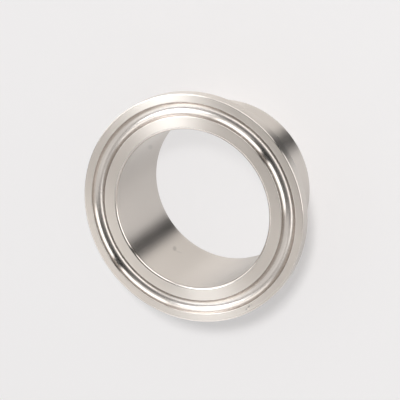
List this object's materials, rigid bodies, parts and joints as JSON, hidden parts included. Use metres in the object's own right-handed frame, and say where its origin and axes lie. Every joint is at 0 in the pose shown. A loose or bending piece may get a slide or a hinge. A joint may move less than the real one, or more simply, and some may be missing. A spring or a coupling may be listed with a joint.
{
  "type": "tri-clamp ferrule",
  "caption": "Hygienic clamp ferrule turned from stainless steel: flange with a gasket groove and tapered back on a short tube with a plain weld end.",
  "frame": {"origin": "centre of the weld end, where the bore's axis meets the plane that the ferrule stands on", "axes": "+Z along the bore's axis, from the weld end to the flange face; X and Y lie in the weld end's plane"},
  "size_m": [0.0506, 0.0504, 0.0215],
  "materials": {
    "turned_steel": "fine turned and lightly polished stainless steel, with concentric tool marks on the flange face"
  },
  "bodies": {
    "root": {"ferrule": "turned_steel"}
  },
  "joints": []
}
